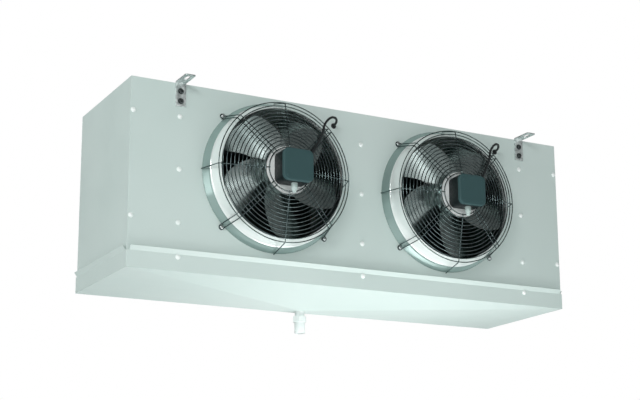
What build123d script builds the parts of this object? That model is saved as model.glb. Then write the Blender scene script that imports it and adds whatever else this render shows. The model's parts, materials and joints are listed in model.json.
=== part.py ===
from build123d import *
import os
from math import cos, hypot, radians, sin, tan

os.makedirs("parts", exist_ok=True)

# Walk-in unit cooler, hung under the ceiling of a cold room. Millimetres.
# +X runs to the right end seen from the air outlet, the fans blow towards -Y, +Z is up.
# The origin is the centre of the hanging plane, which the tops of the four hangers share.

# Casing
casing_width = 1400
casing_depth = 400
hanging_gap = 4
sheet = 1.5
flange = 20
top_flange = 12
end_compartment = 140
rear_rail_height = 68
plate_bottom_gap = 40

# Screws in the front panel
screw_top_gap = 94
screw_rows = 3
screw_bottom_gap = 107
edge_screw_bottom_gap = 113
edge_screw_inset = 7.5
screw_head_radius = 6
screw_head_height = 3.5
screw_shank_radius = 2
screw_length = 9

# Impellers, whose tips size the collars, the guards and the casing
blade_tip_radius = 176
blade_tip_gap = 8
blade_count = 5
blade_thickness = 2
blade_height = 44
blade_bend = 220
blade_pitch = 24
blade_chord = 136
blade_sweep = 12
blade_trim = 10
blade_start_angle = 47

# Air collars, heights measured out from the front panel
collar_wall_taper = 15.5
collar_flare = 13
collar_crease_height = 20
collar_mouth_height = 62
collar_lap = 4
collar_fit = 0.3
collar_top_gap = 17
collar_bottom_gap = 50

# External-rotor motors
hub_radius = 53
hub_low = 12
hub_high = 66
rotor_radius = 51
rotor_wall = 7
rotor_low = 8
rotor_high = 86
rotor_floor = 6
shaft_radius = 6
bearing_clearance = 0.05
bearing_radius = 14
bearing_width = 10
bearing_end_gap = 4
stator_radius = 40
stator_low = 26
motor_flange_radius = 67
motor_flange_low = 90
motor_flange_high = 98
terminal_box_size = 90
terminal_box_corner = 17
terminal_box_height = 58
terminal_box_lid = 5
gland_radius = 9
gland_length = 26

# Wire guards
guard_wire = 2.6
weld_bite = 0.8
guard_eye_inner = 2.6
guard_eye_outer = 6.4
guard_overhang = 11.5
guard_inner_lap = 5
guard_ring_count = 7
guard_ring_sides = 48
guard_rise = 8
guard_side_outset = 9
guard_side_height = 40
leg_wire_gap = 13
leg_foot_outset = 7
guard_screw_head_radius = 5.5

# Motor cables, routed from the terminal box to a grommet in the panel
cable_radius = 3.5
grommet_outset = 48
grommet_angle = 43.5
grommet_radius = 8
grommet_lip = 3
cable_tail = 16

# Finned coil
tube_rows = 2
tubes_per_row = 8
row_pitch = 43.3
tube_radius = 6
tube_overhang = 12
coil_top_gap = 27
coil_rear_gap = 16
fin_pitch = 12
fin_thickness = 0.8

# Refrigerant connections in the right end compartment
header_radius = 14
header_offset = 65
header_overrun = 20
connection_reach = 45
socket_length = 24
socket_clearance = 0.1
liquid_radius = 6
liquid_offset = 92
liquid_depth = 60
distributor_radius = 16
distributor_length = 34
capillary_radius = 2.5
capillary_bend = 14
capillary_front = 10
capillary_gap = 6.4
pipe_grommet_wall = 4

# Drip tray
tray_gap = 1
tray_overlap = 20
tray_wall = 46
tray_fall = 38
tray_lip_out = 8
tray_lip_up = 12
tray_lip_notch = 6
tray_low_x = -98
sump_size = 46
tray_screw_rise = 13
tray_slot_width = 7

# Tray hinges on the rear rail
hinge_rise = 25
hinge_outset = 6
hinge_pin_radius = 3
hinge_pin_clearance = 0.05
hinge_barrel_radius = 5
hinge_barrel_length = 24
hinge_ear = 3
hinge_side_gap = 0.5
hinge_ear_rise = 14
hinge_plate_gap = 1

# Drain fitting
drain_neck_radius = 14
drain_collar_radius = 21
drain_spigot_radius = 15
drain_bore_radius = 11
drain_neck_length = 15
drain_collar_length = 16
drain_spigot_length = 33
drain_washer = 2
drain_nut_radius = 20
drain_nut_height = 8

# Hangers
hanger_plate = 3
hanger_width = 30
hanger_leg = 70
hanger_reach = 72
hanger_bend = 5
hanger_slot_width = 11
hanger_slot_length = 30
hanger_slot_inset = 45
hanger_bolt_drops = (27, 55)
hanger_bolt_radius = 4
hanger_bolt_head = 6.5
hanger_bolt_head_height = 5
hanger_bolt_length = 12
hanger_hole_gap = 0.5

# Places worked out from the driving sizes
collar_mouth_radius = blade_tip_radius + blade_tip_gap + sheet
collar_crease_radius = collar_mouth_radius + collar_wall_taper
collar_base_radius = collar_crease_radius + collar_flare
fan_drop = collar_base_radius + collar_top_gap
casing_height = fan_drop + collar_base_radius + collar_bottom_gap
top = -hanging_gap
lip = top - casing_height
left, right = -casing_width / 2, casing_width / 2
front, rear = -casing_depth / 2, casing_depth / 2
column_x = casing_width / 2 - end_compartment
columns = (-column_x, 0, column_x)
fan_x = column_x / 2
fan_z = top - fan_drop
screw_pitch = (casing_height - screw_top_gap - screw_bottom_gap) / (screw_rows - 1)
screw_drops = [screw_top_gap + row * screw_pitch for row in range(screw_rows)]
edge_screw_drops = (screw_top_gap, casing_height - edge_screw_bottom_gap)
guard_inner_height = motor_flange_high
guard_inner_radius = motor_flange_radius - guard_inner_lap
guard_outer_radius = collar_mouth_radius + guard_overhang
guard_outer_height = collar_mouth_height + guard_rise
guard_side_radius = guard_outer_radius + guard_side_outset
leg_foot_radius = collar_base_radius + leg_foot_outset
grommet_u = (collar_base_radius + grommet_outset) * cos(radians(grommet_angle))
grommet_v = (collar_base_radius + grommet_outset) * sin(radians(grommet_angle))
plate_bottom = lip + plate_bottom_gap
coil_rear = rear - coil_rear_gap
coil_front = coil_rear - tube_rows * row_pitch
coil_top = top - coil_top_gap
coil_height = casing_height - coil_top_gap - rear_rail_height
tube_pitch = coil_height / tubes_per_row
row_y = [coil_front + (row + 0.5) * row_pitch for row in range(tube_rows)]
hinge_y = rear + hinge_outset
hinge_z = lip + hinge_rise
tray_outer = tray_gap + sheet
tray_top = lip + tray_overlap
tray_rim_z = tray_top - tray_wall
tray_low_z = tray_rim_z - tray_fall


def block(x_span, y_span, z_span):
    """A box given by its lowest and highest X, Y and Z."""
    size = [abs(b - a) for a, b in (x_span, y_span, z_span)]
    centre = [(a + b) / 2 for a, b in (x_span, y_span, z_span)]
    return Pos(*centre) * Box(*size)


def rod(start, end, radius, sides=0):
    """A straight bar between two points, round or with a few flat sides."""
    axis = Vector(*end) - Vector(*start)
    section = RegularPolygon(radius, sides) if sides else Circle(radius)
    return extrude(Plane(origin=start, z_dir=axis) * section, axis.length)


def fan_place(x):
    """The frame of one fan: its Z axis points out of the panel, its Y axis up."""
    return Plane(origin=(x, front, fan_z), x_dir=(1, 0, 0), z_dir=(0, -1, 0)).location


def disc(radius, low, high):
    """A plain disc about the local Z axis."""
    return extrude(Pos(0, 0, low) * Circle(radius), high - low)


def ring(inner, outer, low, high):
    """A plain round ring about the local Z axis."""
    return extrude(Pos(0, 0, low) * (Circle(outer) - Circle(inner)), high - low)


def turned(points):
    """A solid of revolution about the local Z axis from points of radius and height."""
    return revolve(Plane.XZ * make_face(Polyline(*points, close=True)), Axis.Z)


# Casing


def collar():
    """Spun air collar: a foot behind the panel, a flare up to a crease, then a wall to the mouth."""
    base = collar_base_radius - collar_fit
    return turned(
        [
            (collar_base_radius + collar_lap, -2 * sheet),
            (collar_base_radius + collar_lap, -sheet),
            (base, -sheet),
            (base, 0),
            (collar_crease_radius, collar_crease_height),
            (collar_mouth_radius, collar_mouth_height),
            (collar_mouth_radius - sheet, collar_mouth_height),
            (collar_crease_radius - sheet, collar_crease_height),
            (base - sheet, -sheet / 2),
            (base - sheet, -2 * sheet),
        ]
    )


def front_panel():
    """Front sheet with holes for the collars and cables, and open slots for the tray screws."""
    panel = block((left, right), (front, front + sheet), (lip, top))
    half = tray_slot_width / 2
    for x in (-fan_x, fan_x):
        holes = Cylinder(collar_base_radius, 4 * sheet)
        holes += Pos(grommet_u, grommet_v, 0) * Cylinder(grommet_radius - grommet_lip, 4 * sheet)
        panel -= fan_place(x) * holes
    for x in columns:
        slot_top = lip + tray_screw_rise + half
        panel -= block((x - half, x + half), (front - sheet, front + 2 * sheet), (lip - sheet, slot_top))
    return panel


def top_panel():
    """Top sheet with a flange turned down at the front and at the rear."""
    span = (left + sheet, right - sheet)
    back_of_front = front + sheet
    return (
        block(span, (back_of_front, rear), (top - sheet, top))
        + block(span, (back_of_front, back_of_front + sheet), (top - top_flange, top))
        + block(span, (rear - sheet, rear), (top - flange, top))
    )


def end_cover(side):
    """End cover, wrapped round the rear of its compartment up to the tube sheet."""
    outer, inner = side * right, side * (right - sheet)
    edges = (min(outer, inner), max(outer, inner))
    lap = sorted((outer, side * (right - flange)))
    rear_lap = sorted((outer, side * (column_x + sheet)))
    cover = block(edges, (front + sheet, rear), (lip, top))
    cover += block(lap, (front + sheet, front + 2 * sheet), (lip, top - flange))
    cover += block(rear_lap, (rear - sheet, rear), (lip, top - flange))
    if side > 0:
        for x, z, radius in (suction_exit(), liquid_exit()):
            hole = rod((x, rear - 5 * sheet, z), (x, rear + 5 * sheet, z), radius + pipe_grommet_wall / 2)
            cover -= hole
    return cover


def tube_sheet(x, towards):
    """Coil end plate from front panel to rear, with a flange turned at both ends."""
    half = sheet / 2
    plate = block((x - half, x + half), (front + 2 * sheet, rear), (plate_bottom, top - flange))
    ends = sorted((x - towards * half, x + towards * flange))
    near = block(ends, (front + 2 * sheet, front + 3 * sheet), (plate_bottom, top - flange))
    far = block(ends, (rear - sheet, rear), (lip + rear_rail_height, top - flange))
    upper = block((x - half, x + half), (front + 2 * sheet, rear - sheet), (top - flange, top - sheet))
    across = (x - 2 * half, x + 2 * half)
    corner = block(across, (rear - 2 * sheet, rear + sheet), (lip, lip + rear_rail_height))
    return plate + near + far + upper - corner


def rear_rail():
    """Angle rail across the rear, which stiffens the lower edge and holds the tray hinges."""
    span = (-column_x - sheet, column_x + sheet)
    leg = block(span, (rear - sheet, rear), (lip, lip + rear_rail_height))
    foot = block(span, (rear - flange, rear - sheet), (lip, lip + sheet))
    return leg + foot


# Fasteners


def screw(place, outward):
    """Round-headed sheet screw whose head stands on the face at the given place."""
    x, y, z = place
    head = rod((x, y, z), (x, y + outward * screw_head_height, z), screw_head_radius, 6)
    shank = rod((x, y, z), (x, y - outward * screw_length, z), screw_shank_radius, 6)
    return head + shank


def panel_screws():
    """Screws of the three columns and of the two side edges."""
    places = [(x, front, top - drop) for x in columns for drop in screw_drops]
    edge_x = right - edge_screw_inset
    places += [(x, front, top - drop) for x in (-edge_x, edge_x) for drop in edge_screw_drops]
    return [screw(place, -1) for place in places]


def tray_screws():
    """Screws that close the tray, which pass through the open slots of the panel."""
    return [screw((x, front - tray_outer, lip + tray_screw_rise), -1) for x in columns]


def guard_screws(x):
    """Screws in the four eyes of one guard."""
    made = []
    for corner in range(4):
        angle = radians(45 + 90 * corner)
        centre = (leg_foot_radius * cos(angle), leg_foot_radius * sin(angle))
        face = (*centre, guard_wire)
        head = rod(face, (*centre, guard_wire + screw_head_height), guard_screw_head_radius, 6)
        shank = rod(face, (*centre, guard_wire - screw_length), screw_shank_radius, 6)
        made.append(fan_place(x) * (head + shank))
    return made


# Fans


def motor_stator():
    """Motor flange with the stator core behind it and a bore for the two bearings."""
    core_top = motor_flange_low
    body = ring(bearing_radius, stator_radius, stator_low, core_top)
    return body + disc(motor_flange_radius, core_top, motor_flange_high)


def motor_bearings():
    """The two ball bearings, drawn as rings, at the ends of the stator bore."""
    inner = shaft_radius + bearing_clearance
    low = stator_low + bearing_end_gap
    high = motor_flange_low - bearing_end_gap - bearing_width
    return [ring(inner, bearing_radius, level, level + bearing_width) for level in (low, high)]


def motor_rotor():
    """Outer rotor: a can round the stator, with the shaft on its floor."""
    can = ring(rotor_radius - rotor_wall, rotor_radius, rotor_low, rotor_high)
    floor = disc(rotor_radius, rotor_low, rotor_low + rotor_floor)
    shaft_top = motor_flange_low - bearing_end_gap / 2
    return can + floor + disc(shaft_radius, rotor_low, shaft_top)


def blade_outline():
    """Outline of a sickle blade seen along the shaft, from inside the hub to past the tip."""
    root = hub_radius - sheet
    inner = root - blade_trim
    outer = blade_tip_radius + blade_trim
    lead = blade_chord / 2
    tip = (0.86 * blade_tip_radius, 1.75 * lead)
    return make_face(
        [
            Line((inner, -0.55 * lead), (root, -0.6 * lead)),
            ThreePointArc((root, -0.6 * lead), (0.62 * blade_tip_radius, -0.62 * lead), (outer, -0.1 * lead)),
            Line((outer, -0.1 * lead), (outer, 1.6 * lead)),
            Line((outer, 1.6 * lead), tip),
            ThreePointArc(tip, (0.58 * blade_tip_radius, lead), (root, 0.55 * lead)),
            Line((root, 0.55 * lead), (inner, lead / 2)),
            Line((inner, lead / 2), (inner, -0.55 * lead)),
        ]
    )


def blade():
    """One sickle blade: a sheet bent to a large radius, pitched, and cut to its outline."""
    length = 3 * blade_tip_radius
    roll = Cylinder(blade_bend, length) - Cylinder(blade_bend - blade_thickness, length)
    tilt = Rot(0, 0, blade_sweep) * Rot(-blade_pitch, 0, 0)
    bent = Pos(0, 0, blade_height) * tilt * Pos(0, 0, -blade_bend) * Rot(0, 90, 0) * roll
    cut = extrude(blade_outline(), 2 * blade_height) & disc(blade_tip_radius, 0, 2 * blade_height)
    return bent & (cut - disc(rotor_radius, 0, 2 * blade_height))


def impeller():
    """Blade ring: a hub sleeve pressed over the rotor, with the blades welded on."""
    wheel = ring(rotor_radius, hub_radius, hub_low, hub_high)
    one = blade()
    for number in range(blade_count):
        wheel += Rot(0, 0, blade_start_angle + 360 / blade_count * number) * one
    return wheel


def terminal_box():
    """Square box with round corners on the motor flange."""
    outline = RectangleRounded(terminal_box_size, terminal_box_size, terminal_box_corner)
    base = extrude(outline, terminal_box_height)
    rim = base.faces().sort_by(Axis.Z)[-1].edges()
    return Pos(0, 0, motor_flange_high) * chamfer(rim, terminal_box_lid / 2)


def cable_gland():
    """Tapered gland under the terminal box."""
    level = motor_flange_high + terminal_box_height / 2
    wall = -terminal_box_size / 2
    profile = [(0, 0), (gland_radius, 0), (gland_radius, gland_length / 2)]
    profile += [(gland_radius / 2, gland_length), (0, gland_length)]
    return Plane(origin=(0, wall, level), z_dir=(0, -1, 0)) * turned(profile)


# Guards


def dome_height(radius):
    """Height of the back of the guard at a radius: flat on the motor flange, then falling."""
    share = (guard_outer_radius - radius) / (guard_outer_radius - motor_flange_radius)
    return guard_outer_height + (guard_inner_height - guard_outer_height) * min(share, 1)


def guard_ring(radius, height):
    """One wire ring in short straight runs, welded on the front of the bent wires."""
    rim = RegularPolygon(radius + guard_wire / 2, guard_ring_sides)
    section = rim - RegularPolygon(radius - guard_wire / 2, guard_ring_sides)
    return extrude(Pos(0, 0, height + guard_wire - weld_bite) * section, guard_wire)


def bent_wire(points):
    """A flat bent wire along points of radius and height, centred on the XZ plane."""
    path = FilletPolyline(*points, radius=2 * guard_wire)
    strip = trace(path, guard_wire)
    return extrude(Plane.XZ * strip, guard_wire / 2, both=True)


def guard():
    """Welded guard: dome rings, four single spokes and four double legs with an eye between."""
    back = guard_wire / 2
    step = (guard_outer_radius - guard_inner_radius) / (guard_ring_count - 1)
    radii = [guard_inner_radius + number * step for number in range(guard_ring_count)]
    wires = Part() + [guard_ring(radius, dome_height(radius)) for radius in radii]
    crown = [
        (guard_inner_radius - guard_wire, guard_inner_height + back),
        (motor_flange_radius + guard_wire, guard_inner_height + back),
        (guard_outer_radius, guard_outer_height + back),
        (guard_side_radius, guard_side_height),
    ]
    spoke = bent_wire(crown + [(collar_base_radius + guard_wire, back)])
    leg = bent_wire(crown + [(collar_base_radius + guard_wire, back), (leg_foot_radius, back)])
    eye = Pos(leg_foot_radius, 0, 0) * ring(guard_eye_inner, guard_eye_outer, 0, guard_wire)
    for number in range(4):
        wires += Rot(0, 0, 90 * number) * spoke
        for offset in (-leg_wire_gap / 2, leg_wire_gap / 2):
            wires += Rot(0, 0, 45 + 90 * number) * Pos(0, offset, 0) * leg
        wires += Rot(0, 0, 45 + 90 * number) * eye
    return wires


# Cables


def cable_route():
    """Corners of the cable in the frame of its fan: along the upper right leg, over the rim."""
    return [
        (44, 30, 132),
        (66, 58, 112),
        (90, 91, 96),
        (109, 123, 88),
        (117, 153, 81),
        (147, 183, 64),
        (178, 190, 42),
        (grommet_u, grommet_v, cable_tail),
        (grommet_u, grommet_v, -cable_tail),
    ]


def bend_radii(points):
    """The widest arcs that the runs beside each corner allow."""
    radii = []
    for before, corner, after in zip(points, points[1:], points[2:]):
        run_in = Vector(*corner) - Vector(*before)
        run_out = Vector(*after) - Vector(*corner)
        turn = radians(run_in.get_angle(run_out))
        radii.append(0.45 * min(run_in.length, run_out.length) / tan(turn / 2))
    return radii


def motor_cable():
    """Motor cable as a round tube of straight runs joined by arcs."""
    points = cable_route()
    radii = bend_radii(points)
    path = FilletPolyline(*points, radius=radii)
    print("cable bend radii", [round(radius) for radius in radii], "length", round(path.length))
    start = Plane(origin=path @ 0, z_dir=path % 0)
    return sweep(start * RegularPolygon(cable_radius, 8), path)


def cable_grommet():
    """Rubber grommet where the cable passes the panel."""
    neck = grommet_radius - grommet_lip
    profile = [
        (cable_radius + 0.4, -sheet - grommet_lip / 2),
        (neck + grommet_lip, -sheet - grommet_lip / 2),
        (neck + grommet_lip, -sheet),
        (neck, -sheet),
        (neck, 0),
        (neck + grommet_lip, 0),
        (cable_radius + 0.4, grommet_lip),
    ]
    return Pos(grommet_u, grommet_v, 0) * turned(profile)


# Coil


def tube_places():
    """Row number, Y and Z of each tube; neighbouring rows are staggered by half a pitch."""
    places = []
    for row, y in enumerate(row_y):
        shift = tube_pitch / 4 if row % 2 == 0 else 3 * tube_pitch / 4
        places += [(row, y, coil_top - shift - number * tube_pitch) for number in range(tubes_per_row)]
    return places


def coil_tubes():
    """Straight copper tubes through all the fins and the three tube sheets."""
    end = column_x + tube_overhang
    return [rod((-end, y, z), (end, y, z), tube_radius) for _, y, z in tube_places()]


def fin_pack(low_x, high_x):
    """Flat fins between two tube sheets, on the tubes that pass through them."""
    count = int((high_x - low_x) // fin_pitch)
    margin = (high_x - low_x - (count - 1) * fin_pitch) / 2
    fins = []
    for number in range(count):
        x = low_x + margin + number * fin_pitch
        edges = (x - fin_thickness / 2, x + fin_thickness / 2)
        fins.append(block(edges, (coil_front, coil_rear), (coil_top - coil_height, coil_top)))
    return fins


def return_bend(side, first, second):
    """Half-round bend between two tubes, at one end of the coil."""
    (y1, z1), (y2, z2) = first, second
    end = side * (column_x + tube_overhang)
    middle = (end, (y1 + y2) / 2, (z1 + z2) / 2)
    half = hypot(y2 - y1, z2 - z1) / 2
    along = Vector(0, (y2 - y1) / (2 * half), (z2 - z1) / (2 * half))
    plane = Plane(origin=middle, x_dir=along, z_dir=(side, 0, 0))
    section = Pos(half, 0, 0) * RegularPolygon(tube_radius, 6)
    bend = revolve(section, Axis.Y, 180)
    if bend.bounding_box().max.Z < tube_radius:
        bend = revolve(section, Axis.Y, -180)
    return plane * bend


def return_bends(side):
    """All bends of one end: across the rows on the left, down the rear row on the right."""
    by_row = [[(y, z) for row, y, z in tube_places() if row == number] for number in range(tube_rows)]
    if side < 0:
        pairs = list(zip(by_row[0], by_row[1]))
    else:
        pairs = [(by_row[1][number], by_row[1][number + 1]) for number in range(0, tubes_per_row, 2)]
    return [return_bend(side, first, second) for first, second in pairs]


def open_ends():
    """Z of the front-row tube ends on the right: outlets first, then inlets."""
    levels = [z for row, _, z in tube_places() if row == 0]
    return levels[0::2], levels[1::2]


def suction_exit():
    """X, Z and radius of the suction pipe where it leaves the casing."""
    return column_x + header_offset, coil_top - coil_height + header_overrun, header_radius


def liquid_exit():
    """X, Z and radius of the liquid pipe where it leaves the casing."""
    return column_x + liquid_offset, fan_z, liquid_radius


def line_socket(x, z, radius):
    """Bell end in which a line of the given radius is brazed."""
    end = rear + connection_reach
    start = end - socket_length
    bore = radius + socket_clearance
    bell = rod((x, start - sheet, z), (x, end, z), bore + sheet)
    return bell, rod((x, start, z), (x, end + sheet, z), bore)


def suction_header():
    """Header that gathers the coil outlets, with its pipe out of the rear."""
    x, low, radius = suction_exit()
    outlets, _ = open_ends()
    y = row_y[0]
    body = rod((x, y, low - radius), (x, y, outlets[0] + header_overrun), radius)
    body += rod((x, y, low), (x, rear + connection_reach, low), radius)
    for z in outlets:
        body += rod((column_x + tube_overhang, y, z), (x, y, z), tube_radius)
    bell, bore = line_socket(x, low, radius)
    return body + bell - bore - rod((x, rear, low), (x, rear + connection_reach, low), radius - sheet)


def distributor():
    """Liquid pipe from the rear and the cone that shares it out."""
    x, z, radius = liquid_exit()
    cone = Plane(origin=(x, liquid_depth, z), x_dir=(1, 0, 0), z_dir=(0, -1, 0)) * turned(
        [(0, 0), (radius, 0), (distributor_radius, distributor_length), (0, distributor_length)]
    )
    pipe = rod((x, liquid_depth, z), (x, rear + connection_reach, z), radius)
    bell, bore = line_socket(x, z, radius)
    return cone + pipe + bell - bore - rod((x, rear, z), (x, rear + connection_reach, z), radius - sheet)


def inlet_stubs():
    """Short caps on the inlet tube ends, which the capillaries enter from the front."""
    _, inlets = open_ends()
    start = column_x + tube_overhang
    return [rod((start, row_y[0], z), (start + tube_overhang, row_y[0], z), tube_radius) for z in inlets]


def capillary_tubes():
    """Thin tubes from the distributor to the inlet stubs."""
    x, z, _ = liquid_exit()
    _, inlets = open_ends()
    face = liquid_depth - distributor_length
    depth = face - capillary_front - 2 * capillary_bend
    end_x = column_x + 1.5 * tube_overhang
    end_y = row_y[0] - tube_radius
    made = []
    for number, level in enumerate(inlets):
        start_z = z + capillary_gap * (1.5 - number)
        points = [(x, face, start_z), (x, depth, start_z), (end_x, depth, level), (end_x, end_y, level)]
        path = FilletPolyline(*points, radius=capillary_bend)
        section = Plane(origin=path @ 0, z_dir=path % 0) * RegularPolygon(capillary_radius, 6)
        made.append(sweep(section, path))
    return made


def pipe_grommets():
    """Rubber rings round the two pipes in the rear of the right end cover."""
    made = []
    for x, z, radius in (suction_exit(), liquid_exit()):
        hole = radius + pipe_grommet_wall / 2
        lip_radius = radius + pipe_grommet_wall
        profile = [
            (radius + 0.2, -sheet),
            (lip_radius, -sheet),
            (lip_radius, 0),
            (hole, 0),
            (hole, sheet),
            (lip_radius, sheet),
            (lip_radius, 2 * sheet),
            (radius + 0.2, 2 * sheet),
        ]
        place = Plane(origin=(x, rear - sheet, z), x_dir=(1, 0, 0), z_dir=(0, 1, 0))
        made.append(place * turned(profile))
    return made


# Drip tray


def pan_form(offset, lift):
    """The dished form under the tray's walls, or its inside when drawn in and lifted."""
    half_x = right + offset
    half_y = rear + offset
    rim_z = tray_rim_z + lift
    low_z = tray_low_z + lift
    half = sump_size / 2
    turns = ((-1, -1), (1, -1), (1, 1), (-1, 1))
    upper = [(a * half_x, b * half_y, rim_z) for a, b in turns]
    lower = [(tray_low_x + a * half, b * half, low_z) for a, b in turns]
    panels = [Face(Wire.make_polygon(corners)) for corners in (upper, lower)]
    for number in range(4):
        after = (number + 1) % 4
        panels.append(Face(Wire.make_polygon([upper[number], upper[after], lower[after], lower[number]])))
    return Solid(Shell(panels))


def tray_lip(length, place):
    """Lip turned outwards along the top of one wall."""
    run = [(0, 0), (tray_lip_out, tray_lip_up), (tray_lip_out - sheet, tray_lip_up), (-sheet, 0)]
    section = Plane.YZ * Pos(0, 0, -length / 2) * make_face(Polyline(*run, close=True))
    return place * extrude(section, length)


def drip_tray():
    """Tray pan whose four floor panels fall to the drain, with a level edge under the walls."""
    outer = tray_outer
    level = (tray_rim_z, tray_rim_z + sheet)
    edge = block((left - outer, right + outer), (front - outer, rear + outer), level)
    pan = edge + pan_form(outer, 0) - pan_form(tray_gap, sheet)
    return pan - Pos(tray_low_x, 0, tray_low_z) * Cylinder(drain_neck_radius, 6 * sheet)


def tray_rim():
    """Walls of the tray, with lips on three sides and two hinge barrels on the fourth."""
    edge = tray_rim_z + sheet
    outer, inner = tray_outer, tray_gap
    rim = block((left - outer, right + outer), (front - outer, rear + outer), (edge, tray_top))
    rim -= block((left - inner, right + inner), (front - inner, rear + inner), (edge, tray_top))
    long = casing_width - 2 * tray_lip_notch
    short = casing_depth - 2 * tray_lip_notch
    rim += tray_lip(long, Pos(0, front - outer, tray_top) * Rot(0, 0, 180))
    rim += tray_lip(short, Pos(left - outer, 0, tray_top) * Rot(0, 0, 90))
    rim += tray_lip(short, Pos(right + outer, 0, tray_top) * Rot(0, 0, -90))
    for x in (-column_x, column_x):
        rim += hinge_barrel(x)
    return rim


def hinge_barrel(x):
    """Barrel on a strap up the rear wall of the tray."""
    half = hinge_barrel_length / 2
    wall = rear + tray_outer
    strap = block((x - half, x + half), (wall - sheet, hinge_y), (tray_top - flange, hinge_z))
    barrel = rod((x - half, hinge_y, hinge_z), (x + half, hinge_y, hinge_z), hinge_barrel_radius)
    bore = hinge_pin_radius + hinge_pin_clearance
    hole = rod((x - 2 * half, hinge_y, hinge_z), (x + 2 * half, hinge_y, hinge_z), bore)
    return strap + barrel - hole


def hinge_brackets():
    """Two ears for each hinge on a small plate screwed to the rear rail."""
    made = []
    for x in (-column_x, column_x):
        reach = hinge_barrel_length / 2 + hinge_side_gap
        plate_low = hinge_z + hinge_barrel_radius + hinge_plate_gap
        span = (x - reach - hinge_ear, x + reach + hinge_ear)
        bracket = block(span, (rear, rear + sheet / 2), (plate_low, plate_low + flange))
        ear_low = hinge_z - hinge_barrel_radius + hinge_plate_gap
        for side in (-1, 1):
            edges = sorted((x + side * reach, x + side * (reach + hinge_ear)))
            ear = block(edges, (rear, hinge_y), (ear_low, hinge_z + hinge_ear_rise))
            ear += rod((edges[0], hinge_y, hinge_z), (edges[1], hinge_y, hinge_z), hinge_barrel_radius)
            bracket += ear
        bracket -= rod((x - 2 * reach, hinge_y, hinge_z), (x + 2 * reach, hinge_y, hinge_z), hinge_pin_radius)
        made.append(bracket)
    return made


def hinge_pins():
    """Pins held in the ears, on which the barrels turn."""
    reach = hinge_barrel_length / 2 + hinge_side_gap + hinge_ear + hinge_plate_gap
    ends = [((x - reach, hinge_y, hinge_z), (x + reach, hinge_y, hinge_z)) for x in (-column_x, column_x)]
    return [rod(start, end, hinge_pin_radius) for start, end in ends]


# Drain


def drain_levels():
    """Underside of the sump, then the lower ends of neck, collar and spigot."""
    start = tray_low_z
    neck = start - drain_neck_length
    band = neck - drain_collar_length
    return start, neck, band, band - drain_spigot_length


def drain_tail():
    """Drain tail: neck up through the sump, and the spigot for the hose."""
    start, _, band, low = drain_levels()
    inside = start + sheet + drain_washer + drain_nut_height
    tail = rod((tray_low_x, 0, band), (tray_low_x, 0, inside), drain_neck_radius)
    tail += rod((tray_low_x, 0, low), (tray_low_x, 0, band), drain_spigot_radius)
    return tail - rod((tray_low_x, 0, low - 1), (tray_low_x, 0, inside + 1), drain_bore_radius)


def drain_collar():
    """Hexagon collar round the neck."""
    _, neck, band, _ = drain_levels()
    body = rod((tray_low_x, 0, band), (tray_low_x, 0, neck), drain_collar_radius, 6)
    return body - rod((tray_low_x, 0, band - 1), (tray_low_x, 0, neck + 1), drain_neck_radius)


def drain_washer_ring():
    """Seal between the sump and the nut inside the tray."""
    start = tray_low_z + sheet
    return Pos(tray_low_x, 0, 0) * ring(drain_neck_radius, drain_nut_radius, start, start + drain_washer)


def drain_nut():
    """Hexagon nut inside the tray."""
    start = tray_low_z + sheet + drain_washer
    body = Pos(tray_low_x, 0, start) * extrude(RegularPolygon(drain_nut_radius, 6), drain_nut_height)
    return body - Pos(tray_low_x, 0, start) * Cylinder(drain_neck_radius, 3 * drain_nut_height)


# Hangers


def hanger(x, side):
    """L-shaped hanger: one leg on the casing, the other under the ceiling with its slot."""
    outline = [(0, -hanger_leg), (0, 0), (hanger_reach, 0), (hanger_reach, -hanger_plate)]
    outline += [(hanger_plate, -hanger_plate), (hanger_plate, -hanger_leg)]
    body = extrude(Plane.YZ * make_face(Polyline(*outline, close=True)), hanger_width / 2, both=True)
    outer = body.edges().filter_by(Axis.X).sort_by_distance((0, 0, 0))[0]
    body = fillet(outer, hanger_bend)
    inner = body.edges().filter_by(Axis.X).sort_by_distance((0, hanger_plate, -hanger_plate))[0]
    body = fillet(inner, hanger_bend - hanger_plate)
    tips = body.edges().filter_by(Axis.Z).sort_by(Axis.Y)[-2:]
    body = fillet(tips, hanger_bend)
    slot = Pos(0, hanger_slot_inset, 0) * Rot(0, 0, 90) * SlotOverall(hanger_slot_length, hanger_slot_width)
    body -= extrude(slot, 2 * hanger_plate, both=True)
    for drop in hanger_bolt_drops:
        reach = (0, 2 * hanger_plate, -drop)
        body -= rod((0, -hanger_plate, -drop), reach, hanger_bolt_radius + hanger_hole_gap)
    turn = Rot(0, 0, 180) if side < 0 else Rot(0, 0, 0)
    return Pos(x, side * rear, 0) * turn * body


def hanger_bolts(side):
    """Bolts of the two hangers on one face of the casing."""
    made = []
    for x in (-column_x, column_x):
        for drop in hanger_bolt_drops:
            face = side * (rear + hanger_plate)
            top_y = face + side * hanger_bolt_head_height
            tip_y = face - side * hanger_bolt_length
            head = rod((x, face, -drop), (x, top_y, -drop), hanger_bolt_head, 6)
            shank = rod((x, face, -drop), (x, tip_y, -drop), hanger_bolt_radius, 6)
            made.append(head + shank)
    return made


# Every piece by name, then one file for each


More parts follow.
